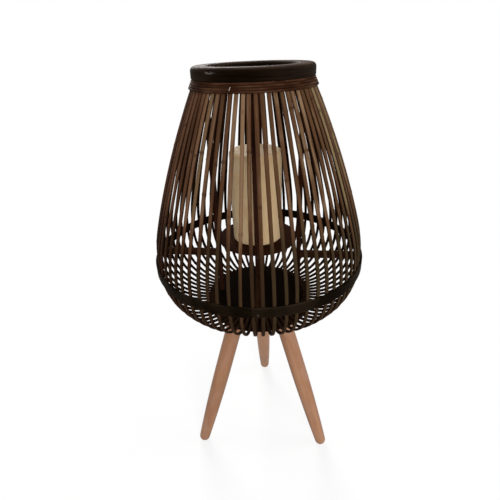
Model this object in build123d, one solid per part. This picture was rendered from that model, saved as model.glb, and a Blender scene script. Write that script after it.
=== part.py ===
from build123d import *
from math import acos, asin, atan2, cos, degrees, floor, hypot, pi, radians, sin, sqrt, tan
import os

# Candle lantern: a pear-shaped cage of bent bamboo ribs on a round base with three splayed legs.
# Millimetres, +Z up. The origin is on the floor under the middle of the cage, the photograph's side is -Y.

# Cage of ribs: the outer faces stand at these radii and heights
rib_count = 68
ribs_in_set = 4
rib_width = 4.8
rib_thickness = 3.2
cage_turn = -3.0
belly_radius = 151.5
belly_low = 362.0
under_radius = 70.0
shoulder_radius = 190.0
flank_radius = 1142.4
under_runs = 6
shoulder_runs = 2
flank_runs = 3

# Rim: a stout hoop with rounded edges that the rib tops stand under
rim_inner = 54.75
rim_outer = 77.2
rim_top = 629.25
rim_depth = 14.45
rim_top_round = 5.5
rim_foot_round = 1.5
neck_radius = 73.4
neck_clearance = 0.25

# Binding: one length of round rattan wound over the rib tops
binding_radius = 1.25
binding_pitch = 2.95
binding_turns = 4
binding_sides = 8
binding_clearance = 0.15
binding_start_angle = 135.0

# Belly hoop: a flat strip round the outside of the ribs
hoop_height = 12.0
hoop_thickness = 2.6
hoop_clearance = 0.1

# Base disc, with a step round its edge that the rib ends lie in
base_step_radius = 70.0
base_radius = 82.0
base_thickness = 18.8
base_edge_chamfer = 1.2
rib_end_clearance = 0.3

# Four posts from the base to the rim, and an arm from each post to the hoop through a gap in the ribs.
# The front arm comes through the gap next to the one at its quarter.
gap_shifts = (0, 0, 0, 1)
post_radius = 61.5
post_width = 7.0
post_clearance = 0.15
arm_width = 6.6
arm_height = 10.0
arm_drop = 2.5

# Plate between the posts, and the pillar candle on it
plate_top = 396.5
plate_thickness = 4.5
plate_edge_chamfer = 0.8
plate_clearance = 0.1
candle_radius = 36.0
candle_height = 128.5
candle_edge_round = 2.5
candle_pool_radius = 31.0
candle_pool_depth = 1.6
wick_radius = 1.1
wick_rise = 11.0
wick_depth = 24.0
wick_clearance = 0.05

# Three turned legs, each on a double-ended wood screw
leg_count = 3
leg_ring_radius = 36.0
leg_splay = 18.0
leg_top_radius = 13.0
leg_waist_radius = 13.3
leg_waist_drop = 120.0
leg_tip_radius = 9.3
leg_foot_flat = 1.0
leg_pocket_clearance = 0.3
leg_pocket_cover = 0.3
leg_screw_radius = 3.5
leg_screw_clearance = 0.05
leg_screw_in_leg = 28.0
leg_screw_in_base = 9.0

# Headless pins: through the hoop into the arms, the posts into the plate and the base into the posts
pin_radius = 1.2
pin_length = 18.0
pin_in_post = 22.0
pin_clearance = 0.05

# Heights and radii that follow from the sizes above
belly_high = belly_low + hoop_height
hoop_middle = belly_low + hoop_height / 2
arm_middle = hoop_middle - arm_drop
rib_floor = belly_low - under_radius
base_top = rib_floor + rib_thickness
shoulder_centre = (belly_radius - shoulder_radius, belly_high)
base_bottom = base_top - base_thickness
post_inner = post_radius - post_width / 2
post_outer = post_radius + post_width / 2
rim_bottom = rim_top - rim_depth
neck_point = (neck_radius, rim_bottom - neck_clearance)
post_top = rim_bottom - post_clearance
hoop_inner = hypot(belly_radius, rib_width / 2) + hoop_clearance
hoop_outer = hoop_inner + hoop_thickness
plate_radius = post_inner - plate_clearance
candle_top = plate_top + candle_height
post_pin_length = base_thickness + pin_in_post


def bend(centre, radius, start, end, runs):
    """Points of a stick bent about a centre, from one angle to another, in so many straight runs."""
    angles = [radians(start + (end - start) * k / runs) for k in range(runs + 1)]
    return [(centre[0] + radius * cos(a), centre[1] + radius * sin(a)) for a in angles]


def flank():
    """Centre of the long upper bend, which carries on from the shoulder up to the rim, and its start."""
    reach = (neck_point[0] - shoulder_centre[0], neck_point[1] - shoulder_centre[1])
    apart = hypot(*reach)
    behind = flank_radius - shoulder_radius
    swing = acos((behind**2 + apart**2 - flank_radius**2) / (2 * behind * apart))
    way = atan2(reach[1], reach[0]) + swing
    centre = (shoulder_centre[0] + behind * cos(way), shoulder_centre[1] + behind * sin(way))
    return centre, degrees(way) - 180


flank_centre, shoulder_angle = flank()


def face_end(depth):
    """Angle about the flank's centre at which a face of a rib, at a depth, comes up under the rim."""
    return degrees(asin((neck_point[1] - flank_centre[1]) / (flank_radius - depth)))


def rib_face(depth):
    """One face of a rib from the base to the rim, at a depth below the outer face."""
    under = (belly_radius - under_radius, belly_low)
    points = [(base_step_radius + rib_end_clearance, rib_floor + depth)]
    points += bend(under, under_radius - depth, -90, 0, under_runs)
    points += bend(shoulder_centre, shoulder_radius - depth, 0, shoulder_angle, shoulder_runs)
    points += bend(flank_centre, flank_radius - depth, shoulder_angle, face_end(depth), flank_runs)[1:]
    return points


def make_rib():
    """One bent bamboo stick in the XZ plane, its top end cut level under the rim."""
    side = make_face(Polyline(*rib_face(0), *rib_face(rib_thickness)[::-1], close=True))
    return extrude(Plane.XZ * side, rib_width / 2, both=True).solid()


def by_rib(shape, places):
    """Copies of a shape turned round the lantern, at places counted in rib spaces."""
    return [Rot(0, 0, cage_turn + 360 * place / rib_count) * shape for place in places]


def by_post(shape):
    """Copies of a shape, one to each post, each in line with the gap its arm comes through."""
    quarter = rib_count // len(gap_shifts)
    return by_rib(shape, [quarter * k + shift for k, shift in enumerate(gap_shifts)])


def make_rim():
    """The stout hoop at the mouth: a rectangle with rounded edges turned about the axis."""
    middle = Pos((rim_inner + rim_outer) / 2, rim_top - rim_depth / 2)
    section = middle * Rectangle(rim_outer - rim_inner, rim_depth)
    section = fillet(section.vertices().group_by(Axis.Y)[-1], rim_top_round)
    section = fillet(section.vertices().group_by(Axis.Y)[0], rim_foot_round)
    return revolve(Plane.XZ * section, Axis.Z).solid()


def binding_point(turn):
    """Middle of the rattan after so many turns: level three quarters round, then down to the next turn."""
    slope = radians(face_end(0))
    lift = binding_radius + binding_clearance
    first_height = rim_bottom - binding_clearance - binding_radius
    first_drop = (neck_point[1] + sin(slope) * lift - first_height) / cos(slope)
    level = floor(turn)
    part = max(0, 4 * (turn - level) - 3)
    drop = first_drop + binding_pitch * (level + part**2 * (3 - 2 * part))
    radius = hypot(neck_point[0] + sin(slope) * drop, rib_width / 2) + cos(slope) * lift
    height = neck_point[1] - cos(slope) * drop + sin(slope) * lift
    angle = radians(binding_start_angle) + 2 * pi * turn
    return Vector(radius * cos(angle), radius * sin(angle), height)


def binding_heading(turn):
    """Direction of the rattan after so many turns."""
    small = 1e-5
    return (binding_point(turn + small) - binding_point(turn - small)).normalized()


def biarc(start, heading, end, last_heading):
    """Two arcs in line with each other that join two points with given directions."""
    span = end - start
    both = heading + last_heading
    bend_share = 2 * (1 - heading.dot(last_heading))
    reach = (sqrt(span.dot(both) ** 2 + bend_share * span.dot(span)) - span.dot(both)) / bend_share
    middle = (start + heading * reach + end - last_heading * reach) / 2
    first = TangentArc(start, middle, tangent=heading)
    return [first, TangentArc(middle, end, tangent=first % 1)]


def make_binding():
    """One unbroken length of rattan: a quarter turn to each pair of arcs, with straight ends."""
    quarters = [k / 4 for k in range(4 * binding_turns)]
    first, last = quarters[0], quarters[-1]
    straight = 2 * binding_radius
    lead_in = binding_point(first) - binding_heading(first) * straight
    lead_out = binding_point(last) + binding_heading(last) * straight
    path = [Line(lead_in, binding_point(first))]
    for a, b in zip(quarters, quarters[1:]):
        path += biarc(binding_point(a), binding_heading(a), binding_point(b), binding_heading(b))
    path.append(Line(binding_point(last), lead_out))
    route = Wire(path)
    section = Plane(lead_in, z_dir=binding_heading(first)) * RegularPolygon(binding_radius, binding_sides)
    return sweep(section, path=route).solid()


def binding_gap():
    """Least clear distance between one turn and the next, on points along the rattan."""
    count = 180
    points = [binding_point(k / count) for k in range(count * (4 * binding_turns - 1) // 4 + 1)]
    pairs = [(points[k] - points[k + count + j]).length for k in range(len(points) - count - 3)
             for j in (-3, -2, -1, 0, 1, 2, 3)]
    return min(pairs) - 2 * binding_radius


def leg_frame():
    """Frame of the leg at +X: its origin where the axis meets the base's lower face, +Z up the leg."""
    tilt = radians(leg_splay)
    return Plane(
        (leg_ring_radius, 0, base_bottom),
        x_dir=(cos(tilt), 0, sin(tilt)),
        z_dir=(-sin(tilt), 0, cos(tilt)),
    )


# The pocket is just deep enough to take in the whole end of a leg
leg_seat = leg_top_radius * tan(radians(leg_splay)) + leg_pocket_cover / cos(radians(leg_splay))
tip_height = leg_tip_radius - leg_foot_flat
leg_tip = (tip_height - base_bottom) / cos(radians(leg_splay))
leg_tip_reach = leg_ring_radius - leg_tip * sin(radians(leg_splay))


def make_leg():
    """A turned leg: a gentle swell to the waist, a long taper and a round tip, cut flat on the floor."""
    waist = (leg_waist_radius, leg_seat - leg_waist_drop)
    tip = (leg_tip_radius, leg_tip)
    with BuildLine() as edge:
        Line((0, leg_seat), (leg_top_radius, leg_seat))
        Line((leg_top_radius, leg_seat), waist)
        TangentArc(waist, tip, tangent=(0, -1))
        JernArc(tip, (0, -1), leg_tip_radius, -90)
        Line((0, leg_tip - leg_tip_radius), (0, leg_seat))
    turned = revolve(make_face(Plane.XZ * edge.line), Axis.Z).solid()
    leg = leg_frame().location * (turned - leg_screw_form(leg_screw_clearance))
    reach = 4 * leg_tip_radius
    ground = Pos(leg_tip_reach, 0, 0) * Box(
        reach, reach, reach, align=(Align.CENTER, Align.CENTER, Align.MAX)
    )
    return (leg - ground).solid()


def upright(radius, low, high):
    """A cylinder up the leg's axis, from one height along it to another."""
    return Pos(0, 0, low) * Cylinder(radius, high - low, align=(Align.CENTER, Align.CENTER, Align.MIN))


def leg_screw_form(gap):
    """The screw on a leg's axis, from inside the leg to inside the base."""
    low, high = leg_seat - leg_screw_in_leg, leg_seat + leg_screw_in_base
    return upright(leg_screw_radius + gap, low - gap, high + gap)


def turned_out(shape, k):
    """A leg piece carried to its place: the back leg stands at +Y, the other two at the front corners."""
    return Rot(0, 0, 90 + 360 * k / leg_count) * shape


def pin_form(length, gap):
    """A headless pin driven along +Z, its outer end at Z = 0."""
    return Cylinder(pin_radius + gap, length + gap, align=(Align.CENTER, Align.CENTER, Align.MIN))


inward = Rot(0, -90, 0)
arm_pin = Pos(hoop_outer, 0, arm_middle) * inward
plate_pin = Pos(post_outer, 0, plate_top - plate_thickness / 2) * inward
post_pin = Pos(post_radius, 0, base_bottom)
arm_end = sqrt(hoop_inner**2 - (arm_width / 2) ** 2) - hoop_clearance


def make_base():
    """The base disc: a step round the top for the rib ends, pockets for the legs, holes for pins."""
    disc = Pos(0, 0, base_bottom) * Cylinder(
        base_radius, base_thickness - rib_thickness, align=(Align.CENTER, Align.CENTER, Align.MIN)
    )
    disc = chamfer(disc.faces().sort_by(Axis.Z)[0].edges(), base_edge_chamfer)
    disc += Pos(0, 0, rib_floor) * Cylinder(
        base_step_radius, rib_thickness, align=(Align.CENTER, Align.CENTER, Align.MIN)
    )
    pocket = upright(leg_top_radius + leg_pocket_clearance, -4 * leg_top_radius, leg_seat)
    socket = pocket + leg_screw_form(leg_screw_clearance)
    for k in range(leg_count):
        disc -= turned_out(leg_frame().location * socket, k)
    for hole in by_post(post_pin * pin_form(post_pin_length, pin_clearance)):
        disc -= hole
    return disc.solid()


def make_post():
    """A square stick from the base to the rim, drilled for the pin below it and the plate's pin."""
    stick = Pos(post_radius, 0, base_top) * Box(
        post_width, post_width, post_top - base_top, align=(Align.CENTER, Align.CENTER, Align.MIN)
    )
    stick -= plate_pin * pin_form(pin_length, pin_clearance)
    return (stick - post_pin * pin_form(post_pin_length, pin_clearance)).solid()


def make_arm():
    """A flat bar from a post, between two ribs, to the inside of the hoop."""
    bar = Pos(post_outer, 0, arm_middle) * Box(
        arm_end - post_outer, arm_width, arm_height, align=(Align.MIN, Align.CENTER, Align.CENTER)
    )
    return (bar - arm_pin * pin_form(pin_length, pin_clearance)).solid()


def make_hoop():
    """The flat strip, just clear of the corners of the ribs and drilled for the pins in the arms."""
    section = Pos((hoop_inner + hoop_outer) / 2, hoop_middle) * Rectangle(hoop_thickness, hoop_height)
    hoop = revolve(Plane.XZ * section, Axis.Z)
    for hole in by_post(arm_pin * pin_form(pin_length, pin_clearance)):
        hoop -= hole
    return hoop.solid()


def make_plate():
    """The round plate that the candle stands on, pinned between the posts."""
    disc = Pos(0, 0, plate_top - plate_thickness) * Cylinder(
        plate_radius, plate_thickness, align=(Align.CENTER, Align.CENTER, Align.MIN)
    )
    disc = chamfer(disc.edges().filter_by(GeomType.CIRCLE), plate_edge_chamfer)
    for hole in by_post(plate_pin * pin_form(pin_length, pin_clearance)):
        disc -= hole
    return disc.solid()


def make_candle():
    """A pillar candle with a rounded shoulder and the shallow dish that the first burning leaves."""
    edge = candle_radius - candle_edge_round
    low = candle_top - candle_pool_depth
    with BuildLine() as profile:
        Polyline((0, low), (0, plate_top), (candle_radius, plate_top),
                 (candle_radius, candle_top - candle_edge_round))
        JernArc((candle_radius, candle_top - candle_edge_round), (0, 1), candle_edge_round, 90)
        Line((edge, candle_top), (candle_pool_radius, candle_top))
        TangentArc((0, low), (candle_pool_radius, candle_top), tangent=(1, 0))
    body = revolve(make_face(Plane.XZ * profile.line), Axis.Z).solid()
    hole = Pos(0, 0, low - wick_depth) * Cylinder(
        wick_radius + wick_clearance, 2 * wick_depth, align=(Align.CENTER, Align.CENTER, Align.MIN)
    )
    return (body - hole).solid()


def make_wick():
    """The wick, standing in its hole in the wax."""
    low = candle_top - candle_pool_depth
    return Pos(0, 0, low - wick_depth + wick_clearance) * Cylinder(
        wick_radius, wick_depth + wick_rise, align=(Align.CENTER, Align.CENTER, Align.MIN)
    )


os.makedirs("parts", exist_ok=True)


def write(name, *solids):
    """One file to each named piece, or to each group of like pieces."""
    export_step(solids[0] if len(solids) == 1 else Compound(children=list(solids)), f"parts/{name}.step")


# The ribs stand a half space to each side of every arm, and are filed in sets
ribs = by_rib(make_rib(), [k + 0.5 for k in range(rib_count)])
for first in range(0, rib_count, ribs_in_set):
    write(f"rib_set_{first // ribs_in_set + 1:02d}", *ribs[first:first + ribs_in_set])

write("rim_hoop", make_rim())
write("rim_binding", make_binding())
write("belly_hoop", make_hoop())
write("base_disc", make_base())
write("candle_plate", make_plate())
write("candle", make_candle())
write("wick", make_wick())

sides = ["right", "back", "left", "front"]
for side, post, arm in zip(sides, by_post(make_post()), by_post(make_arm())):
    write(f"post_{side}", post)
    write(f"arm_{side}", arm)

for k, place in enumerate(["back", "front_left", "front_right"]):
    write(f"leg_{place}", turned_out(make_leg(), k))
    write(f"leg_screw_{place}", turned_out(leg_frame().location * leg_screw_form(0), k))

write("arm_pins", *by_post(arm_pin * pin_form(pin_length, 0)))
write("plate_pins", *by_post(plate_pin * pin_form(pin_length, 0)))
write("post_pins", *by_post(post_pin * pin_form(post_pin_length, 0)))

print(f"binding: {binding_turns} turns, least gap between turns {binding_gap():.2f} mm")
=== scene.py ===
import math
import bpy
import numpy as np
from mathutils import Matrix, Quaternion, Vector


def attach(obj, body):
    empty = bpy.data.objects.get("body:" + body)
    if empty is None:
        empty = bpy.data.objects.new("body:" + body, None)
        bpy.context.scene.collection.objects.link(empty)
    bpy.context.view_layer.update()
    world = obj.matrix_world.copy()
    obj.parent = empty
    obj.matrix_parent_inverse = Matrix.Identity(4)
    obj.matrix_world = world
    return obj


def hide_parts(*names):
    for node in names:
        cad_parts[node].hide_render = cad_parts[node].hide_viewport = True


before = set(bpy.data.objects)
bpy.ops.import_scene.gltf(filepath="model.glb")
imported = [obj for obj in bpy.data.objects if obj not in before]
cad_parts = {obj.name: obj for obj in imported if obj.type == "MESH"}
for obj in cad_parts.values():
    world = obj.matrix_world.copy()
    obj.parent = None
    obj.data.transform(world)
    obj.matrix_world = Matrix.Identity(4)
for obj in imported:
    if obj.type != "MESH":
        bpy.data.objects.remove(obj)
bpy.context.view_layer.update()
print("frame loaded:", len(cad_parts), "nodes")

# camera: place and aim in metres, roll in degrees, lens and sensor in mm
view = dict(place=(0.02965, -0.51425, 0.6533), aim=(-0.01272, 0.0, 0.37022), roll=-2.39, lens=27.43,
            sensor=36.0, nearest=0.01)


# it looks from its place to its aim, then rolls about that line
def makeCamera():
    data = bpy.data.cameras.new("photoCamera")
    data.sensor_width = view["sensor"]
    data.lens = view["lens"]
    data.clip_start = view["nearest"]
    camera = bpy.data.objects.new("photoCamera", data)
    bpy.context.scene.collection.objects.link(camera)
    sight = Vector(view["aim"]) - Vector(view["place"])
    turn = sight.to_track_quat("-Z", "Y") @ Quaternion((0, 0, 1), math.radians(view["roll"]))
    camera.rotation_euler = turn.to_euler()
    camera.location = view["place"]
    bpy.context.scene.camera = camera
    bpy.context.scene.view_settings.view_transform = "Standard"


makeCamera()
print("camera placed")


# a shader socket that can be added, taken away and multiplied: each operator adds a Math node
class Wire:
    def __init__(self, tree, out=None):
        self.tree = tree
        self.out = out

    # any node: its type, its settings (set first) and the values or links of its sockets
    def node(self, kind, settings, sockets, out=0):
        made = self.tree.nodes.new("ShaderNode" + kind)
        for key, value in settings.items():
            setattr(made, key, value)
        for key, value in sockets.items():
            if isinstance(value, Wire):
                self.tree.links.new(value.out, made.inputs[key])
            else:
                made.inputs[key].default_value = value
        return Wire(self.tree, made.outputs[out] if len(made.outputs) else None)

    def math(self, operation, a, b):
        return self.node("Math", dict(operation=operation), {0: a, 1: b})

    def __add__(self, other):
        return self.math("ADD", self, other)

    def __radd__(self, other):
        return self.math("ADD", other, self)

    def __sub__(self, other):
        return self.math("SUBTRACT", self, other)

    def __rsub__(self, other):
        return self.math("SUBTRACT", other, self)

    def __mul__(self, other):
        return self.math("MULTIPLY", self, other)

    def __rmul__(self, other):
        return self.math("MULTIPLY", other, self)

    def clamp(self):
        return self.node("Clamp", {}, {"Value": self})

    def smooth(self, low, high):        # 0 below low, 1 above high, eased between
        sockets = {"Value": self, "From Min": low, "From Max": high}
        return self.node("MapRange", dict(interpolation_type="SMOOTHSTEP"), sockets)

    def mixed(self, a, b):              # colour a at 0, colour b at 1; 6, 7 and 2 are the colour sockets
        return self.node("Mix", dict(data_type="RGBA"), {0: self, 6: a, 7: b}, out=2)

    def stretched(self, *scale):        # a vector with each axis scaled by itself
        return self.node("VectorMath", dict(operation="MULTIPLY"), {0: self, 1: scale})

    def noise(self, scale, detail, roughness):
        sockets = {"Vector": self, "Scale": scale, "Detail": detail, "Roughness": roughness}
        return self.node("TexNoise", {}, sockets)

    def pattern(self, across, along, scale, detail, roughness):     # noise on a grain that runs along z
        return self.stretched(across, across, along).noise(scale, detail, roughness)

    def swing(self, amount):            # a noise, swung about its middle by so much from end to end
        return (self - 0.5) * amount

    def bump(self, height, strength):
        return self.node("Bump", {}, {"Height": self, "Distance": height, "Strength": strength})

    def part(self, axis):               # one axis of a vector
        return self.node("SeparateXYZ", {}, {0: self}, out="xyz".index(axis))


# first wire of an emptied node tree, of a material or a world
def emptyTree(owner):
    owner.use_nodes = True
    owner.node_tree.nodes.clear()
    return Wire(owner.node_tree)


# an empty material: its first wire, and a function that closes it with one Principled shader, given the
# stain, what is added to the look's roughness, the height of the relief and any more sockets
def newFinish(name, look):
    material = bpy.data.materials.new(name)
    start = emptyTree(material)

    def close(stain, uneven, height, more=()):
        sockets = {"Base Color": stain, "Roughness": look["rough"] + uneven,
                   "Normal": height.bump(*look["bump"]), "Specular IOR Level": look["gloss"]}
        sockets.update(more)
        shader = start.node("BsdfPrincipled", {}, sockets)
        start.node("OutputMaterial", {}, {"Surface": shader})
        return material

    return start, close


# a named value that the mesh carries at each vertex
def attribute(start, name, vector=False):
    return start.node("Attribute", dict(attribute_name=name), {}, out="Vector" if vector else "Fac")


# the point's own place, in metres
def objectPlace(start):
    return start.node("TexCoord", {}, {}, out="Object")


# an opaque colour
def colour(r, g, b):
    return (r, g, b, 1.0)


# A look holds stains, the ranges over which one stain gives way to the next, and patterns. A pattern is the
# stretch of the grain across and along, then the noise's scale, detail and roughness. A bump is the relief's
# height in metres and its strength.

# bamboo ribs: the skin side is tan to olive, or red-brown towards the left side, where it is painted shade,
# and beside the front post; dusk is the dark stain that the painted shade below the belly reaches; the split
# sides and the inner side are redder and darker
bambooLook = dict(
    inner=colour(0.012, 0.0046, 0.0019), split=colour(0.028, 0.0110, 0.0046), innerToSplit=(0.2, 0.9),
    dusk=colour(0.040, 0.0255, 0.0125), brown=colour(0.084, 0.0400, 0.0190), duskToBrown=(-0.3, 0.4),
    tan=colour(0.222, 0.1380, 0.0780), olive=colour(0.178, 0.1330, 0.0660), brownToSkin=(0.4, 0.9),
    # red-brown stains, which paint the shade of the left side
    redDark=colour(0.023, 0.0084, 0.0042), redLight=colour(0.106, 0.0440, 0.0228), redRange=(-0.1, 1.0),
    # the knot stain, which also paints the shade at the foot of each stick
    knotAndFootShade=colour(0.024, 0.0100, 0.0046), backToFace=(0.40, 0.85),
    fibre=(1, 0.03, 1500, 4, 0.6), streak=(1, 0.05, 420, 2, 0.5), patch=(0.6, 1, 26, 3, 0.55),
    drift=(0.4, 1, 17, 2, 0.5), rough=0.55, gloss=0.010, bump=(0.0006, 0.35))


# the shade is the stick's tone, darkened by painted shade below the belly and at the sides, with fibres,
# streaks and patches added, and picks the stain
def makeBamboo():
    look = bambooLook
    start, close = newFinish("stainedBamboo", look)
    grain = attribute(start, "grain", vector=True)
    knotAndFootShade = attribute(start, "knotAndFootShade")
    red = attribute(start, "red")
    fibre = grain.pattern(*look["fibre"])
    streak = grain.pattern(*look["streak"])
    patch = grain.pattern(*look["patch"])
    shade = attribute(start, "tone") + fibre.swing(0.5) + streak.swing(0.9) + patch.swing(0.9)
    drift = (attribute(start, "hue") + grain.pattern(*look["drift"]).swing(1.6)).clamp()
    skinTone = drift.mixed(look["tan"], look["olive"])
    face = shade.smooth(*look["brownToSkin"]).mixed(look["brown"], skinTone)
    face = shade.smooth(*look["duskToBrown"]).mixed(look["dusk"], face)
    redFace = shade.smooth(*look["redRange"]).mixed(look["redDark"], look["redLight"])
    # red-brown stain, painted as shade towards the left side and grown beside the front post
    face = (red + patch.swing(0.8) * red).clamp().mixed(face, redFace)
    back = shade.smooth(*look["innerToSplit"]).mixed(look["inner"], look["split"])
    stain = attribute(start, "skin").smooth(*look["backToFace"]).mixed(back, face)
    # dark knots, and painted shade at the foot of each stick
    stain = knotAndFootShade.mixed(stain, look["knotAndFootShade"])
    return close(stain, fibre.swing(0.25) + knotAndFootShade * 0.15, fibre * 0.6 + streak * 0.4)


# rim: bent wood stained nearly black, fine lines round the hoop, lighter along its crest as a painted
# highlight and at its left and right ends as painted sheen, a pale scuff where it was knocked
rimLook = dict(
    black=colour(0.0028, 0.0015, 0.0006), brown=colour(0.0095, 0.0050, 0.0023), blackToBrown=(0.38, 0.66),
    # worn is the colour of the painted highlight on the crest and the painted sheen at the ends
    worn=colour(0.084, 0.0560, 0.0430), paintedLightShare=0.65,
    bare=colour(0.105, 0.092, 0.080), bareRange=(0.42, 0.56),
    line=(1, 0.02, 900, 3, 0.6), cloud=(1, 0.4, 40, 3, 0.5), rub=(1, 0.3, 520, 3, 0.65),
    rough=0.45, gloss=0.002, bump=(0.0005, 0.25))


# lines and clouds mix black and brown and break up the painted highlight and sheen; the rub shows only inside
# the scuff
def makeRimWood():
    look = rimLook
    start, close = newFinish("blackRim", look)
    grain = attribute(start, "grain", vector=True)
    line = grain.pattern(*look["line"])
    cloud = grain.pattern(*look["cloud"])
    stain = (line * 0.5 + cloud * 0.5).smooth(*look["blackToBrown"]).mixed(look["black"], look["brown"])
    # painted highlight and sheen, broken up by the clouds and lines
    worn = attribute(start, "worn") * (look["paintedLightShare"] + cloud.swing(1.2) + line.swing(1.6))
    stain = worn.clamp().mixed(stain, look["worn"])
    rubbed = grain.pattern(*look["rub"]).smooth(*look["bareRange"]) * attribute(start, "scuff")
    stain = rubbed.mixed(stain, look["bare"])
    return close(stain, line.swing(0.2) + rubbed * 0.25, line + cloud * 0.5)


# rattan of the binding: red-brown, streaked along its length
rattanLook = dict(
    dark=colour(0.0110, 0.0040, 0.0017), red=colour(0.035, 0.0126, 0.0058), darkToRed=(0.3, 0.55),
    pale=colour(0.086, 0.0405, 0.0228), redToPale=(0.46, 0.64),
    line=(1, 0.02, 1400, 3, 0.6), patch=(0.3, 1, 24, 3, 0.55), rough=0.5, gloss=0.008, bump=(0.0004, 0.3))


# lines and long patches make one shade, which goes from dark through red to pale
def makeRattan():
    look = rattanLook
    start, close = newFinish("redRattan", look)
    grain = attribute(start, "grain", vector=True)
    line = grain.pattern(*look["line"])
    shade = line * 0.4 + grain.pattern(*look["patch"]) * 0.6
    stain = shade.smooth(*look["darkToRed"]).mixed(look["dark"], look["red"])
    stain = shade.smooth(*look["redToPale"]).mixed(stain, look["pale"])
    return close(stain, line.swing(0.25), line)


# flat strip of the belly hoop: black-brown, long grain, paler worn edges
stripLook = dict(
    black=colour(0.0030, 0.0018, 0.0008), brown=colour(0.0100, 0.0062, 0.0032), blackToBrown=(0.35, 0.65),
    worn=colour(0.024, 0.0165, 0.010), wornRange=(0.4, 0.65),
    line=(1, 0.015, 1100, 4, 0.6), cloud=(1, 1, 30, 3, 0.55), rough=0.55, gloss=0.004, bump=(0.0006, 0.35))


# lines and clouds mix black and brown; the edges are worn where the clouds are pale
def makeStrip():
    look = stripLook
    start, close = newFinish("blackStrip", look)
    grain = attribute(start, "grain", vector=True)
    line = grain.pattern(*look["line"])
    cloud = grain.pattern(*look["cloud"])
    stain = (line * 0.5 + cloud * 0.5).smooth(*look["blackToBrown"]).mixed(look["black"], look["brown"])
    worn = attribute(start, "edge") * cloud.smooth(*look["wornRange"])
    stain = worn.clamp().mixed(stain, look["worn"])
    return close(stain, line.swing(0.25), line)


# sawn sticks and boards inside the cage: one dark stain, the grain squeezed along the given axis
armStain = dict(dark=colour(0.0150, 0.0060, 0.0028), light=colour(0.0500, 0.0210, 0.0100))
darkWoods = dict(
    postWood=dict(dark=colour(0.0120, 0.0044, 0.0028), light=colour(0.0460, 0.0158, 0.0088), along="z"),
    armWoodX=dict(armStain, along="x"),
    armWoodY=dict(armStain, along="y"),
    plateWood=dict(dark=colour(0.0160, 0.0054, 0.0030), light=colour(0.0400, 0.0150, 0.0080), along="x"),
    baseWood=dict(dark=colour(0.0020, 0.0009, 0.0004), light=colour(0.0058, 0.0027, 0.0012), along="x"))
darkWoodLook = dict(squeeze=0.04, line=(700, 4, 0.6), cloud=(22, 3, 0.5), darkToLight=(0.3, 0.7),
                    rough=0.55, gloss=0.002, bump=(0.0005, 0.3))


# grain lines and clouds make one shade, from dark to light
def makeDarkWood(name, dark, light, along):
    look = darkWoodLook
    start, close = newFinish(name, look)
    place = objectPlace(start)
    squeeze = [look["squeeze"] if axis == along else 1.0 for axis in "xyz"]
    line = place.stretched(*squeeze).noise(*look["line"])
    shade = line * 0.6 + place.noise(*look["cloud"]) * 0.4
    stain = shade.smooth(*look["darkToLight"]).mixed(dark, light)
    return close(stain, line.swing(0.25), line)


# beech legs: pink-tan wood with soft long grain and the short dark flecks of beech, their tops darkened by
# painted shade under the base
beechLook = dict(
    tan=colour(0.300, 0.144, 0.076), pale=colour(0.45, 0.233, 0.129), tanToPale=(0.33, 0.67),
    rosy=colour(0.37, 0.204, 0.131), rosyRange=(0.45, 0.65), rosyMost=0.7,
    fleck=colour(0.23, 0.096, 0.046), fleckRange=(0.66, 0.74), fleckMost=0.45,
    # the colour of the painted shade at the top of each leg
    topShade=colour(0.085, 0.036, 0.021), band=(1, 0.06, 130, 3, 0.5), line=(1, 0.02, 1100, 3, 0.6),
    flecks=(1, 0.16, 900, 1, 0.4), tint=(0.5, 1, 9, 2, 0.5), blush=(1, 0.6, 28, 2, 0.5),
    rough=0.5, gloss=0.22, bump=(0.0004, 0.25))


# bands, lines, a slow tint and each leg's tone make the shade; blush, flecks and painted shade at the top lie
# over it
def makeBeech():
    look = beechLook
    start, close = newFinish("oiledBeech", look)
    grain = attribute(start, "grain", vector=True)
    band = grain.pattern(*look["band"])
    line = grain.pattern(*look["line"])
    fleck = grain.pattern(*look["flecks"]).smooth(*look["fleckRange"])
    tint = grain.pattern(*look["tint"])
    # each leg's tone is painted paler on the back leg and darker on the front ones, as painted light
    shade = band * 0.45 + line * 0.2 + tint * 0.35 + attribute(start, "tone")
    wood = shade.smooth(*look["tanToPale"]).mixed(look["tan"], look["pale"])
    blush = grain.pattern(*look["blush"]).smooth(*look["rosyRange"])
    wood = (blush * look["rosyMost"]).mixed(wood, look["rosy"])
    wood = (fleck * look["fleckMost"]).mixed(wood, look["fleck"])
    # painted shade: the top of each leg darkened under the base
    wood = attribute(start, "topShade").mixed(wood, look["topShade"])
    return close(wood, line.swing(0.2), line - fleck * 0.6)


# candle wax: cream with cloudy patches, lit a little way in
waxLook = dict(
    warm=colour(0.64, 0.432, 0.238), cream=colour(0.700, 0.515, 0.300), warmToCream=(0.3, 0.7),
    cloud=(38, 4, 0.55), fine=(420, 3, 0.6), glow=0.2, glowReach=(0.012, 0.007, 0.003), glowScale=0.5,
    rough=0.5, gloss=0.06, bump=(0.0004, 0.15))


# clouds with a little fine noise go from warm to cream
def makeWax():
    look = waxLook
    start, close = newFinish("creamWax", look)
    place = objectPlace(start)
    cloud = place.noise(*look["cloud"])
    fine = place.noise(*look["fine"])
    tint = (cloud * 0.8 + fine * 0.2).smooth(*look["warmToCream"]).mixed(look["warm"], look["cream"])
    glow = {"Subsurface Weight": look["glow"], "Subsurface Radius": look["glowReach"],
            "Subsurface Scale": look["glowScale"]}
    return close(tint, cloud.swing(0.3), fine, glow)


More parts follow.
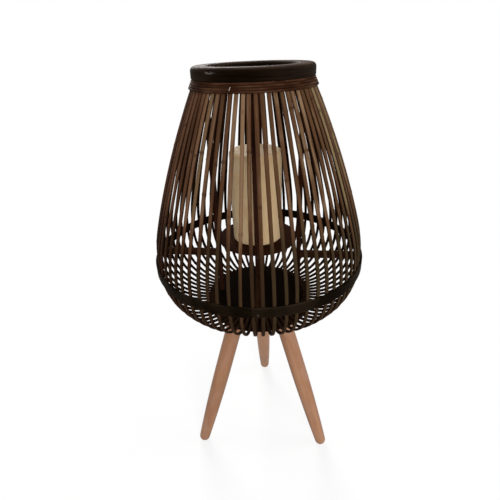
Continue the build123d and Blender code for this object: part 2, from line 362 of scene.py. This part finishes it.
# cotton wick: grey thread, charred towards its top
wickLook = dict(
    cotton=colour(0.42, 0.36, 0.27), char=colour(0.012, 0.010, 0.009), charRange=(0.528, 0.5335),
    charUneven=0.003, thread=(1, 0.5, 2600, 2, 0.5), rough=0.85, gloss=0.5, bump=(0.0003, 0.5))


# the height in metres, made uneven by the threads, goes from cotton to char
def makeCotton():
    look = wickLook
    start, close = newFinish("wickCotton", look)
    place = objectPlace(start)
    thread = place.pattern(*look["thread"])
    burnt = (place.part("z") + thread.swing(look["charUneven"])).smooth(*look["charRange"])
    return close(burnt.mixed(look["cotton"], look["char"]), thread.swing(0.1), thread)


# steel of pins, screws and the staple
steels = dict(
    stainedSteel=dict(dark=colour(0.03, 0.02, 0.016), light=colour(0.08, 0.06, 0.05), rough=0.5),
    screwSteel=dict(dark=colour(0.42, 0.42, 0.43), light=colour(0.58, 0.58, 0.58), rough=0.32),
    stapleSteel=dict(dark=colour(0.24, 0.22, 0.20), light=colour(0.40, 0.37, 0.34), rough=0.45))
steelLook = dict(rub=(900, 3, 0.6), darkToLight=(0.35, 0.7), gloss=0.5, bump=(0.0001, 0.1))


# fine rubbing goes from dark to light and dulls the metal
def makeSteel(name, dark, light, rough):
    look = dict(steelLook, rough=rough)
    start, close = newFinish(name, look)
    rub = objectPlace(start).noise(*look["rub"])
    stain = rub.smooth(*look["darkToLight"]).mixed(dark, light)
    return close(stain, rub.swing(0.3), rub, {"Metallic": 1.0})


finishes = dict(bamboo=makeBamboo(), rimWood=makeRimWood(), rattan=makeRattan(), strip=makeStrip(),
                beech=makeBeech(), wax=makeWax(), cotton=makeCotton())
for name, wood in darkWoods.items():
    finishes[name] = makeDarkWood(name, **wood)
for name, steel in steels.items():
    finishes[name] = makeSteel(name, **steel)
print("finishes made:", len(finishes))

quarterTurn = math.pi / 2


# angles once round, without the last
def fullTurn(count):
    return np.linspace(0, 2 * np.pi, count, endpoint=False)


# vectors of shape (n, 3) made one long
def unit(vectors):
    return vectors / np.linalg.norm(vectors, axis=1)[:, None]


# points at a distance from the axis, an angle round it and a height
def roundAxis(out, angle, up):
    return np.stack(np.broadcast_arrays(out * np.cos(angle), out * np.sin(angle), up), -1)


# points at a distance out, a distance across and a height, all turned round the axis by one angle
def turnedOut(out, across, up, angle):
    return np.stack([out * math.cos(angle) - across * math.sin(angle),
                     out * math.sin(angle) + across * math.cos(angle), up], -1)


# a round profile carried along a path (n, 3): the path plus the radius times cos of side and sin of lift
def tube(path, side, lift, radius, around):
    t = fullTurn(around)
    reach = np.broadcast_to(np.asarray(radius, float), (len(path),))[:, None, None]
    ring = np.cos(t)[None, :, None] * side[:, None, :] + np.sin(t)[None, :, None] * lift[:, None, :]
    return path[:, None, :] + reach * ring, t


# mesh of a grid of points: shape (rows, around, 3), each row a closed ring, the rows joined in order and
# the two ends closed by flat caps
def ringGrid(points):
    rows, around = points.shape[:2]
    row = np.arange(rows - 1)[:, None] * around
    here = np.arange(around)[None, :]
    beside = (here + 1) % around
    quads = np.stack([row + here, row + beside, row + around + beside, row + around + here], -1)
    ring = np.arange(around)
    caps = [ring[::-1].tolist(), (ring + (rows - 1) * around).tolist()]
    return points.reshape(-1, 3), quads.reshape(-1, 4).tolist() + caps


# several grids become one mesh object, with the named values of each vertex beside it
def addPiece(name, grids, values, finish, body, replaced=None):
    vertices, faces, count = [], [], 0
    for points, ring in grids:
        vertices.append(points)
        faces += [[k + count for k in face] for face in ring]
        count += len(points)
    mesh = bpy.data.meshes.new(name)
    mesh.from_pydata(np.concatenate(vertices).tolist(), [], faces)
    for key, value in values.items():
        value = np.asarray(value, np.float32)
        isVector = value.ndim == 2
        made = mesh.attributes.new(key, "FLOAT_VECTOR" if isVector else "FLOAT", "POINT")
        made.data.foreach_set("vector" if isVector else "value", value.ravel())
    mesh.polygons.foreach_set("use_smooth", np.ones(len(mesh.polygons), bool))
    mesh.materials.append(finishes[finish])
    piece = bpy.data.objects.new(name, mesh)
    bpy.context.scene.collection.objects.link(piece)
    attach(piece, body)
    if replaced:
        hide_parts(replaced)


# ribs: lengths in metres, angles in degrees; drift and neckDrift are how far a stick strays sideways at its
# belly and its top; slimBelow, shadeFrom and footShadeFrom are shares of its length from the base, the last
# two where painted shade begins
ribs = dict(
    count=68, setSize=4, turn=-3.0, width=0.0048, thickness=0.0032, tailRadius=0.0703, floor=0.292,
    underRadius=0.070, bellyRadius=0.1515, bellyRun=0.012, shoulderRadius=0.190, flankRadius=1.1424,
    neckRadius=0.0734, neckHeight=0.61455, neckGap=0.0003, rows=44, around=12, squareness=0.5,
    knotsMost=4, knotSpacing=0.135, knotStray=0.018, knotMargin=0.02, knotLength=0.0016, knotReach=2.4,
    knotRows=7, knotSwell=0.00028, knotDark=(0.15, 0.7), knotDarkLength=1.2,
    drift=0.0008, driftTwice=0.6, driftMost=1.5, neckDrift=0.0005,
    widthSpread=(0.98, 1.12), slender=0.14, slimBelow=0.3,
    # painted shade: the sticks' tone falls below the belly and towards the left and right sides
    toneSpread=(0.20, 1.05), shadeFallBelow=1.1, shadeFrom=0.62, shadeSpan=0.20, sideShade=0.12,
    # painted shade: the foot of each stick is darkened with the knot stain
    footShadeMost=0.75, footShadeFrom=0.31, footShadeSpan=0.12, grainShift=5,
    # painted shade: the red-brown stain grows towards the left side, darkening it
    leftShadeRed=1.0, leftShadeRedPower=2.2, redFront=0.5, redFrontAt=272.3, redFrontSpan=4.0, seed=20)


# the shoulder and flank bends touch where their circles do: the triangle of the shoulder's centre, the
# flank's centre and the neck gives the turn of each
def ribTurns():
    centre = np.array([ribs["bellyRadius"] - ribs["shoulderRadius"],
                       ribs["floor"] + ribs["underRadius"] + ribs["bellyRun"]])
    reach = np.array([ribs["neckRadius"], ribs["neckHeight"]]) - centre
    apart = math.hypot(*reach)
    behind = ribs["flankRadius"] - ribs["shoulderRadius"]
    swing = math.acos((behind ** 2 + apart ** 2 - ribs["flankRadius"] ** 2) / (2 * behind * apart))
    way = math.atan2(reach[1], reach[0]) + swing
    flankCentre = centre + behind * np.array([math.cos(way), math.sin(way)])
    neckTurn = math.asin((ribs["neckHeight"] - flankCentre[1]) / ribs["flankRadius"])
    return way - math.pi, neckTurn


# runs of a rib from the base to the neck: the length of each, and its radius where it is bent
shoulderTurn, neckTurn = ribTurns()
ribRuns = [(ribs["bellyRadius"] - ribs["underRadius"] - ribs["tailRadius"], None),
           (ribs["underRadius"] * quarterTurn, ribs["underRadius"]),
           (ribs["bellyRun"], None),
           (ribs["shoulderRadius"] * shoulderTurn, ribs["shoulderRadius"]),
           (ribs["flankRadius"] * (neckTurn - shoulderTurn), ribs["flankRadius"])]
ribLength = sum(length for length, bend in ribRuns) - ribs["neckGap"]


# a rib's outer face at distances s from its base end: each bent run adds its radius times the change of
# (cos, sin) of the face's angle, each straight run its length along the tangent
def ribLine(s):
    radius = np.full_like(s, ribs["tailRadius"])
    height = np.full_like(s, ribs["floor"])
    face = np.full_like(s, -quarterTurn)
    done, angle = 0.0, -quarterTurn
    for length, bend in ribRuns:
        d = np.clip(s - done, 0, length)
        if bend is None:
            radius = radius - math.sin(angle) * d
            height = height + math.cos(angle) * d
        else:
            radius = radius + bend * (np.cos(angle + d / bend) - math.cos(angle))
            height = height + bend * (np.sin(angle + d / bend) - math.sin(angle))
            face = face + d / bend
            angle = angle + length / bend
        done += length
    return radius, height, face


draw = np.random.default_rng(ribs["seed"])


# places of a stick's knots: a first one is drawn, the others follow at about the knots' spacing
def ribKnots():
    first = draw.uniform(ribs["knotMargin"], ribs["knotSpacing"])
    evenly = ribs["knotSpacing"] * np.arange(ribs["knotsMost"])
    knots = first + evenly + draw.uniform(-ribs["knotStray"], ribs["knotStray"], ribs["knotsMost"])
    return knots[(knots > ribs["knotMargin"]) & (knots < ribLength - ribs["knotMargin"])]


# what the bamboo finish reads on a stick: its grain, a tone darkened by painted shade below the belly and at
# the sides, its hue, a red-brown that grows to the left as painted shade and beside the front post, dark
# knots and painted shade at the foot, and nearness to the skin
def ribStain(angle, s, across, depth, deep, ringDark):
    size = across.shape
    part = (s / ribLength)[:, None]
    own = draw.uniform(0, ribs["grainShift"], 3)
    grain = np.stack([across + own[0], depth + own[1], np.broadcast_to(s[:, None], size) + own[2]], -1)
    # painted shade: the tone falls below the belly
    shadeBelow = np.clip((ribs["shadeFrom"] - part) / ribs["shadeSpan"], 0, 1)
    tone = draw.uniform(*ribs["toneSpread"]) - ribs["shadeFallBelow"] * shadeBelow
    # painted shade: the tone is lowered on the sticks towards the left and right sides
    tone = tone - ribs["sideShade"] * math.cos(angle) ** 2
    hue = draw.uniform(0, 1) ** 2
    # painted shade: the red-brown grows towards the left side; it also grows beside the front post
    towardShadedLeft = (1 - math.cos(angle)) / 2
    nearFront = np.exp(-((math.degrees(angle) - ribs["redFrontAt"]) / ribs["redFrontSpan"]) ** 2)
    red = ribs["leftShadeRed"] * towardShadedLeft ** ribs["leftShadeRedPower"] + ribs["redFront"] * nearFront
    # painted shade: the foot of each stick, under the belly, is darkened as its knots are
    foot = np.clip((ribs["footShadeFrom"] - part) / ribs["footShadeSpan"], 0, 1)
    knotAndFootShade = np.clip(np.maximum(ringDark, ribs["footShadeMost"] * foot), 0, 1)
    values = dict(grain=grain.reshape(-1, 3))
    for key, value in dict(tone=tone, hue=hue, red=red, knotAndFootShade=knotAndFootShade, skin=(1 + deep) / 2).items():
        values[key] = np.broadcast_to(value, size).ravel()
    return values


# one stick: a rounded-square profile (cos and sin to a power) carried along the rib's line, swollen at its
# knots and straying a little to one side
def ribStick(angle):
    knots = ribKnots()
    near = np.linspace(-ribs["knotReach"], ribs["knotReach"], ribs["knotRows"]) * ribs["knotLength"]
    even = np.linspace(0, ribLength, ribs["rows"])
    s = np.sort(np.concatenate([even] + [k + near for k in knots]))
    fromKnot = (s[:, None] - knots[None, :]) / ribs["knotLength"]
    swell = np.exp(-fromKnot ** 2).sum(1)[:, None] * ribs["knotSwell"]
    ringDark = np.exp(-(fromKnot / ribs["knotDarkLength"]) ** 2).sum(1)[:, None]
    ringDark = ringDark * draw.uniform(*ribs["knotDark"])
    part = s / ribLength
    lean = np.clip(draw.normal(0, 1, 3), -ribs["driftMost"], ribs["driftMost"])
    bow = lean[0] * np.sin(np.pi * part) + ribs["driftTwice"] * lean[1] * np.sin(2 * np.pi * part)
    stray = ribs["drift"] * bow + ribs["neckDrift"] * lean[2] * part
    t = fullTurn(ribs["around"])
    wide = (np.sign(np.cos(t)) * np.abs(np.cos(t)) ** ribs["squareness"])[None, :]
    deep = (np.sign(-np.sin(t)) * np.abs(np.sin(t)) ** ribs["squareness"])[None, :]
    upper = np.clip((part - ribs["slimBelow"]) / (1 - ribs["slimBelow"]), 0, 1)[:, None]
    slim = 1 - ribs["slender"] * (1 - upper)
    halfWidth = ribs["width"] / 2 * draw.uniform(*ribs["widthSpread"]) * slim
    across = stray[:, None] + (halfWidth + swell) * wide
    depth = ribs["thickness"] / 2 * (1 - deep) - swell * np.maximum(deep, 0)
    radius, height, face = ribLine(s)
    out = radius[:, None] - depth * np.cos(face)[:, None]
    up = height[:, None] - depth * np.sin(face)[:, None]
    points = turnedOut(out, across, up, angle)
    return ringGrid(points), ribStain(angle, s, across, depth, deep, ringDark)


for setNumber in range(ribs["count"] // ribs["setSize"]):
    places = setNumber * ribs["setSize"] + np.arange(ribs["setSize"]) + 0.5
    sticks = [ribStick(math.radians(ribs["turn"] + 360 * place / ribs["count"])) for place in places]
    values = {key: np.concatenate([stick[1][key] for stick in sticks]) for key in sticks[0][1]}
    addPiece(f"ribs.{setNumber + 1:02d}", [stick[0] for stick in sticks], values, "bamboo", "lantern",
             f"rib_set_{setNumber + 1:02d}")
print("ribs made:", ribs["count"])


# rim: a rod of rounded-square section bent once round, its two ends butted at the back; its waves are how
# many go round and where they start
rim = dict(
    inner=0.05475, outer=0.0772, top=0.62925, depth=0.01445, topRound=0.0055, footRound=0.0015,
    jointAt=160.0, jointGap=0.05, wave=0.00018, waves=((3, 0.7), (5, 0.0)),
    rows=200, arcPoints=9, sideRows=6,
    scuffAt=235.0, scuffSpan=5.5, scuffHeight=0.6242, scuffHigh=0.0012,
    # painted sheen on the left and right ends, and a painted highlight along the top
    sideSheenShare=0.30, crestHighlightShare=1.0, crestHighlightDeep=0.0013)


# the section is four quarter arcs, each a centre plus its radius times (cos, sin), joined by straight runs;
# it is carried round while sine waves draw it in a little
def makeRim():
    bottom = rim["top"] - rim["depth"]
    topRound, footRound = rim["topRound"], rim["footRound"]
    corners = [(rim["outer"] - topRound, rim["top"] - topRound, topRound),
               (rim["inner"] + topRound, rim["top"] - topRound, topRound),
               (rim["inner"] + footRound, bottom + footRound, footRound),
               (rim["outer"] - footRound, bottom + footRound, footRound)]
    quarter = np.linspace(0, quarterTurn, rim["arcPoints"])
    arcs = [quarter + k * quarterTurn for k in range(len(corners))]
    side = np.linspace(bottom + footRound, rim["top"] - topRound, rim["sideRows"] + 2)[1:-1]
    out = [x + r * np.cos(arc) for (x, z, r), arc in zip(corners, arcs)]
    up = [z + r * np.sin(arc) for (x, z, r), arc in zip(corners, arcs)]
    out = np.concatenate(out + [np.full(len(side), rim["outer"])])[None, :]
    up = np.concatenate(up + [side])[None, :]
    turnDeg = rim["jointAt"] + np.linspace(360 - rim["jointGap"], rim["jointGap"], rim["rows"])[:, None]
    angle = np.radians(turnDeg)
    sway = rim["wave"] * sum(np.sin(count * angle + shift) - 1 for count, shift in rim["waves"])
    points = roundAxis(out + sway, angle, up)
    grain = np.stack(np.broadcast_arrays(out, up, rim["outer"] * angle), -1)
    scuff = np.exp(-((turnDeg - rim["scuffAt"]) / rim["scuffSpan"]) ** 4
                   - ((up - rim["scuffHeight"]) / rim["scuffHigh"]) ** 4)
    scuff = scuff * (out > rim["outer"] - topRound)
    # painted highlight: a lighter band along the top edge; painted sheen: lighter at the left and right ends
    crestHighlight = np.exp(-((rim["top"] - up) / rim["crestHighlightDeep"]) ** 2)
    worn = rim["sideSheenShare"] * np.cos(angle) ** 2 + rim["crestHighlightShare"] * crestHighlight
    return ringGrid(points), dict(grain=grain.reshape(-1, 3), scuff=scuff.ravel(), worn=worn.ravel())


rimGrid, rimValues = makeRim()
addPiece("rim", [rimGrid], rimValues, "rimWood", "lantern", "rim_hoop")
print("rim made")


# binding: a round strand wound on the cone of the rib tops, its turns lying against each other; its waves,
# counted along the strand, make its thickness uneven
binding = dict(
    radius=0.00147, pitch=0.00295, turns=4, levelShare=0.75, lift=0.0014, firstHeight=0.6134,
    startAngle=135.0, ends=0.0025, rowsPerTurn=96, around=12, uneven=0.03, waves=((61, 0.4), (17, 1.1)),
    small=1e-4)


# the strand's middle after so many turns: level for most of each turn, then eased down by one pitch
def bindingLine(turns):
    firstDrop = ribs["neckHeight"] + math.sin(neckTurn) * binding["lift"] - binding["firstHeight"]
    pastLevel = turns - np.floor(turns) - binding["levelShare"]
    part = np.maximum(0, pastLevel / (1 - binding["levelShare"]))
    level = np.floor(turns) + part ** 2 * (3 - 2 * part)
    drop = firstDrop / math.cos(neckTurn) + binding["pitch"] * level
    ribTop = np.hypot(ribs["neckRadius"] + math.sin(neckTurn) * drop, ribs["width"] / 2)
    height = ribs["neckHeight"] - math.cos(neckTurn) * drop + math.sin(neckTurn) * binding["lift"]
    angle = math.radians(binding["startAngle"]) + 2 * np.pi * turns
    return roundAxis(ribTop + math.cos(neckTurn) * binding["lift"], angle, height)


# a round profile on that line, which stops before the last step down, with a short straight at each end
def makeBinding():
    last = binding["turns"] - 1 + binding["levelShare"]
    turns = np.linspace(0, last, int(binding["rowsPerTurn"] * last) + 1)
    path = bindingLine(turns)
    heading = unit(bindingLine(turns + binding["small"]) - bindingLine(turns - binding["small"]))
    leadIn = path[:1] - heading[:1] * binding["ends"]
    leadOut = path[-1:] + heading[-1:] * binding["ends"]
    path = np.concatenate([leadIn, path, leadOut])
    heading = np.concatenate([heading[:1], heading, heading[-1:]])
    out = unit(path * (1, 1, 0))
    side = unit(out - heading * (out * heading).sum(1)[:, None])
    s = np.concatenate([[0], np.cumsum(np.linalg.norm(np.diff(path, axis=0), axis=1))])
    fine, coarse = [np.sin(s * pace + shift) for pace, shift in binding["waves"]]
    swell = 1 + binding["uneven"] * (fine * coarse - 1)
    points, t = tube(path, side, np.cross(heading, side), binding["radius"] * swell, binding["around"])
    grain = np.stack(np.broadcast_arrays(binding["radius"] * np.cos(t)[None, :],
                                         binding["radius"] * np.sin(t)[None, :], s[:, None]), -1)
    return ringGrid(points), dict(grain=grain.reshape(-1, 3))


bindingGrid, bindingValues = makeBinding()
addPiece("binding", [bindingGrid], bindingValues, "rattan", "lantern", "rim_binding")

# staple over the lowest turns: a wire bridge with two legs, lying down the slope of the cone
staple = dict(angle=254.6, lean=-10.0, wire=0.00038, proud=0.6, reach=0.0040, legs=0.0024, middle=0.0077,
              corner=0.0006, arcPoints=6, around=8)


# run and rise of the bridge: a leg up, a quarter arc, the crown, a quarter arc and a leg down
def makeStaple():
    angle = math.radians(staple["angle"])
    outward = np.array([math.cos(angle), math.sin(angle), 0])
    upward = np.array([0, 0, 1.0])
    normal = outward * math.cos(neckTurn) + upward * math.sin(neckTurn)
    down = outward * math.sin(neckTurn) - upward * math.cos(neckTurn)
    lean = math.radians(staple["lean"])
    along = down * math.cos(lean) + np.cross(normal, down) * math.sin(lean)
    neck = outward * ribs["neckRadius"] + upward * ribs["neckHeight"]
    crown = binding["lift"] + binding["radius"] + staple["wire"] * staple["proud"]
    half = staple["reach"] / 2
    ends = [-staple["legs"]]
    t = np.linspace(0, quarterTurn, staple["arcPoints"])
    bend = staple["corner"] * (1 - np.cos(t))
    climb = staple["corner"] * (1 - np.sin(t))
    run = np.concatenate([[-half], bend - half, half - bend[::-1], [half]])
    rise = np.concatenate([ends, -climb, -climb[::-1], ends])
    path = neck + down * staple["middle"] + along * run[:, None] + normal * (crown + rise)[:, None]
    heading = unit(np.gradient(path, axis=0))
    side = np.broadcast_to(np.cross(normal, along), path.shape)
    points, _ = tube(path, side, np.cross(heading, side), staple["wire"], staple["around"])
    return ringGrid(points)


addPiece("staple", [makeStaple()], {}, "stapleSteel", "lantern")
print("binding and staple made")


# belly hoop: a flat strip carried once round and lapped over its own start, the ends skived thin; the lap is
# pressed a little into what it lies on
hoop = dict(inner=0.15162, thickness=0.0026, low=0.3615, high=0.3755, lapAt=269.5, lap=13.0, skived=0.0010,
            step=0.0009, rise=0.0006, pressed=0.0002, clear=0.0001, rows=220, edgeRound=0.0004, flatFrom=3)


# ten points of the strip's section at each row, each a radius, a height and how worn it is: the inner and
# outer radii rise where the end climbs over the start
def makeHoop():
    lap = math.radians(hoop["lap"])
    turned = np.linspace(2 * np.pi + lap, 0, hoop["rows"])
    startRise = np.clip(turned / lap, 0, 1)
    endRise = np.clip((turned - 2 * np.pi) / lap, 0, 1)
    inner = hoop["inner"] + endRise * (hoop["thickness"] - hoop["pressed"]) + hoop["clear"] * (endRise > 0)
    skivedBy = hoop["thickness"] - hoop["skived"]
    outer = hoop["inner"] + hoop["skived"] + skivedBy * startRise + endRise * hoop["step"]
    angle = math.radians(hoop["lapAt"]) + turned - lap
    low = hoop["low"] + hoop["rise"] * endRise
    high = hoop["high"] + hoop["rise"] * endRise
    r = hoop["edgeRound"]
    flat = hoop["flatFrom"] * r
    section = [(inner, high - r, 0), (inner, low + r, 0), (inner + r, low, 1), (outer - r, low, 1),
               (outer, low + r, 0.8), (outer, low + flat, 0.2), (outer, high - flat, 0.2),
               (outer, high - r, 0.8), (outer - r, high, 1), (inner + r, high, 1)]
    radii = np.stack([point[0] for point in section], 1)
    heights = np.stack([point[1] for point in section], 1)
    edge = np.broadcast_to([point[2] for point in section], radii.shape)
    points = roundAxis(radii, angle[:, None], heights)
    grain = np.stack(np.broadcast_arrays(radii, heights, hoop["inner"] * turned[:, None]), -1)
    return ringGrid(points), dict(grain=grain.reshape(-1, 3), edge=edge.ravel())


hoopGrid, hoopValues = makeHoop()
addPiece("bellyHoop", [hoopGrid], hoopValues, "strip", "lantern", "belly_hoop")
print("belly hoop made")


# candle: a profile turned about the axis, its wall and lip a little uneven as poured wax is; a wave is how
# many go round, its twist from foot to lip, where it starts and its share
candle = dict(
    radius=0.036, low=0.3965, high=0.525, lip=0.0032, foot=0.0012, poolRadius=0.031, poolDepth=0.0016,
    bore=0.00115, boreDepth=0.02, pole=0.0005, arcPoints=7, wallRows=20, poolRows=12, around=96,
    uneven=0.00025, lipUneven=0.0003, lipFrom=0.9, waves=((2, 3, 0.0, 1.0), (5, -4, 1.0, 0.6)))


# radii and heights run from the foot up the wall, over the lip, across the dish and down the wick's bore;
# sine waves round the axis, twisting as they climb, draw the wall in a little
def makeCandle():
    quarter = np.linspace(0, quarterTurn, candle["arcPoints"])
    low, high, wall = candle["low"], candle["high"], candle["radius"]
    foot, lip, bore = candle["foot"], candle["lip"], candle["bore"]
    pool = np.linspace(candle["poolRadius"], bore, candle["poolRows"])
    radii = np.concatenate([[candle["pole"]], wall - foot * (1 - np.sin(quarter)),
                            np.full(candle["wallRows"], wall), wall - lip * (1 - np.cos(quarter)),
                            pool, [bore]])[:, None]
    heights = np.concatenate([[low], low + foot * (1 - np.cos(quarter)),
                              np.linspace(low + foot, high - lip, candle["wallRows"] + 2)[1:-1],
                              high - lip * (1 - np.sin(quarter)),
                              high - candle["poolDepth"] * (1 - (pool / candle["poolRadius"]) ** 2),
                              [high - candle["boreDepth"]]])[:, None]
    u = fullTurn(candle["around"])[None, :]
    part = (heights - low) / (high - low)
    wave, shares = 0, 0
    for count, twist, shift, share in candle["waves"]:
        wave = wave + share * np.sin(count * u + twist * part + shift)
        shares += share
    wave = wave / shares - 1
    out = radii + candle["uneven"] * wave * (radii / wall) ** 2
    up = heights + candle["lipUneven"] * wave * (part > candle["lipFrom"])
    return ringGrid(roundAxis(out, u, up))


addPiece("candleWax", [makeCandle()], {}, "wax", "candle_body", "candle")

# wick: three-lobed twisted cord that leans at its tip
wick = dict(radius=0.0011, low=0.5005, top=0.5340, lean=0.0016, leanFrom=0.75, tipFrom=0.96, tipShare=0.75,
            core=0.86, lobe=0.12, lobes=3, twist=9.0, rows=40, around=18)


# the radius swells three times round, turning with the height; the top quarter leans by a square law
def makeWick():
    part = np.linspace(0, 1, wick["rows"])[:, None]
    t = fullTurn(wick["around"])[None, :]
    height = wick["low"] + (wick["top"] - wick["low"]) * part
    bend = wick["lean"] * np.clip((part - wick["leanFrom"]) / (1 - wick["leanFrom"]), 0, 1) ** 2
    taper = np.where(part > wick["tipFrom"], wick["tipShare"], 1.0)
    lobes = wick["lobe"] * np.cos(wick["lobes"] * (t + wick["twist"] * part))
    points = roundAxis(wick["radius"] * taper * (wick["core"] + lobes), t, height)
    return ringGrid(points + bend[:, :, None] * np.array([1.0, 0, 0]))


addPiece("wickCord", [makeWick()], {}, "cotton", "candle_body", "wick")
print("candle and wick made")


# legs: a turned profile along the splayed axis, swelling to a waist, tapering to a round tip; a place is the
# end of the node's name, the angle in degrees and how much paler the wood is painted, the back leg paler as
# painted light, since it stands in the lantern's shade
legs = dict(
    ring=0.036, splay=18.0, seatHeight=0.2764, top=0.013, waist=0.0133, waistDrop=0.120, tip=0.0093,
    footFlat=0.0010, cover=0.0003, pole=0.0002, seatRows=16, taperRows=30, tipRows=14, around=48,
    # painted shade at the top of each leg: its depth and its most
    topShadeDeep=0.016, topShadeMost=0.8, grainStep=0.7,
    # painted light: the back leg is made paler and the front legs darker
    places=(("back", 90, 0.22), ("front_left", 210, -0.12), ("front_right", 330, -0.06)))


# the place down the axis gives the radius: straight to the waist, then an arc of the taper, then a round end
def makeLeg(angleDeg, tone, offset):
    tilt = math.radians(legs["splay"])
    seat = legs["top"] * math.tan(tilt) + legs["cover"] / math.cos(tilt)
    tipPlace = (legs["tip"] - legs["footFlat"] - legs["seatHeight"]) / math.cos(tilt)
    waistPlace = seat - legs["waistDrop"]
    fall = waistPlace - tipPlace
    narrow = legs["waist"] - legs["tip"]
    arc = (fall ** 2 + narrow ** 2) / (2 * narrow)
    along = np.linspace(0, fall, legs["taperRows"])
    quarter = np.linspace(0, quarterTurn, legs["tipRows"])[1:]
    places = np.concatenate([np.linspace(seat, waistPlace, legs["seatRows"])[:-1], waistPlace - along,
                             tipPlace - legs["tip"] * np.sin(quarter)])[::-1, None]
    radii = np.concatenate([np.linspace(legs["top"], legs["waist"], legs["seatRows"])[:-1],
                            legs["waist"] - arc + np.sqrt(arc ** 2 - along ** 2),
                            np.maximum(legs["tip"] * np.cos(quarter), legs["pole"])])[::-1, None]
    t = fullTurn(legs["around"])[None, :]
    facing, across = radii * np.cos(t), radii * np.sin(t)
    out = legs["ring"] - places * math.sin(tilt) + facing * math.cos(tilt)
    up = legs["seatHeight"] + places * math.cos(tilt) + facing * math.sin(tilt)
    points = turnedOut(out, across, np.maximum(up, 0), math.radians(angleDeg))
    grain = np.stack(np.broadcast_arrays(facing + offset, across, places + offset), -1)
    # painted shade: strongest at the top of the leg, just under the base
    topShade = legs["topShadeMost"] * np.exp(-((seat - places) / legs["topShadeDeep"]) ** 2)
    return ringGrid(points), dict(grain=grain.reshape(-1, 3), tone=np.full(across.size, tone),
                                  topShade=np.broadcast_to(topShade, across.shape).ravel())


for number, (place, angleDeg, tone) in enumerate(legs["places"]):
    legGrid, legValues = makeLeg(angleDeg, tone, legs["grainStep"] * number)
    addPiece(f"leg.{place}", [legGrid], legValues, "beech", "lantern", f"leg_{place}")
print("legs made")


# finishes of the pieces whose solids show as they are
shown = dict(
    baseWood=["base_disc"],
    plateWood=["candle_plate"],
    postWood=["post_right", "post_back", "post_left", "post_front"],
    armWoodX=["arm_right", "arm_left"],
    armWoodY=["arm_back", "arm_front"],
    stainedSteel=["arm_pins", "plate_pins", "post_pins"],
    screwSteel=["leg_screw_back", "leg_screw_front_left", "leg_screw_front_right"])
for finish, nodes in shown.items():
    for node in nodes:
        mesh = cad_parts[node].data
        mesh.materials.clear()
        mesh.materials.append(finishes[finish])
print("solids finished:", sum(len(nodes) for nodes in shown.values()))


# floor, world and lamps: each lamp has a place, a size and a power, and looks at aim
studio = dict(
    floorSize=6.0, floorTone=colour(0.85, 0.85, 0.85), bounceTone=colour(0.20, 0.20, 0.20),
    white=colour(1, 1, 1), glow=0.80, fadeFrom=0.22, fadeTo=0.60, ambient=0.14, aim=(0, 0, 0.38),
    lamps=dict(key=((0.50, -1.65, 1.30), 0.9, 23.5), low=((0.1, -1.75, 0.35), 0.9, 12.5),
               right=((1.75, 0.1, 1.0), 0.9, 11.0), left=((-1.75, 0.1, 1.0), 0.9, 7.5),
               top=((0.4, -0.1, 2.2), 1.2, 4.5), back=((-0.5, 1.65, 1.35), 1.0, 38.0)))


# 1 for what the camera sees straight, mirrored or through glass
def seenRays(start):
    kinds = ("Is Camera Ray", "Is Glossy Ray", "Is Transmission Ray")
    straight, mirrored, through = [start.node("LightPath", {}, {}, out=kind) for kind in kinds]
    return (straight + mirrored + through).clamp()


# pale paint that keeps the shadow near the lantern and fades with the distance to the white of the
# background; it throws little light back up at the lantern
def makeFloor():
    half = studio["floorSize"] / 2
    corners = [(-half, -half, 0), (half, -half, 0), (half, half, 0), (-half, half, 0)]
    mesh = bpy.data.meshes.new("floor")
    mesh.from_pydata(corners, [], [(0, 1, 2, 3)])
    floor = bpy.data.objects.new("floor", mesh)
    bpy.context.scene.collection.objects.link(floor)
    material = bpy.data.materials.new("paleFloor")
    start = emptyTree(material)
    away = start.node("VectorMath", dict(operation="LENGTH"), {0: objectPlace(start)}, out="Value")
    far = away.smooth(studio["fadeFrom"], studio["fadeTo"])
    seen = seenRays(start)
    lit = seen * (studio["glow"] + far * (1 - studio["glow"]))
    tone = seen.mixed(studio["bounceTone"], studio["floorTone"])
    paint = start.node("BsdfDiffuse", {}, {"Color": tone})
    light = start.node("Emission", {}, {"Color": studio["white"], "Strength": 1.0})
    surface = start.node("MixShader", {}, {0: lit, 1: paint, 2: light})
    start.node("OutputMaterial", {}, {"Surface": surface})
    mesh.materials.append(material)


# white where it is seen, and a weak even light on the lantern
def makeWorld():
    world = bpy.data.worlds.new("studio")
    bpy.context.scene.world = world
    start = emptyTree(world)
    strength = studio["ambient"] + seenRays(start) * (1 - studio["ambient"])
    sky = start.node("Background", {}, {"Color": studio["white"], "Strength": strength})
    start.node("OutputWorld", {}, {"Surface": sky})


# square area lamps, each turned to look at aim
def makeLamps():
    for name, (place, size, power) in studio["lamps"].items():
        data = bpy.data.lights.new(name, "AREA")
        data.size = size
        data.energy = power
        lamp = bpy.data.objects.new(name, data)
        lamp.location = place
        lamp.rotation_euler = (Vector(studio["aim"]) - Vector(place)).to_track_quat("-Z", "Y").to_euler()
        bpy.context.scene.collection.objects.link(lamp)


makeFloor()
makeWorld()
makeLamps()
print("studio made")
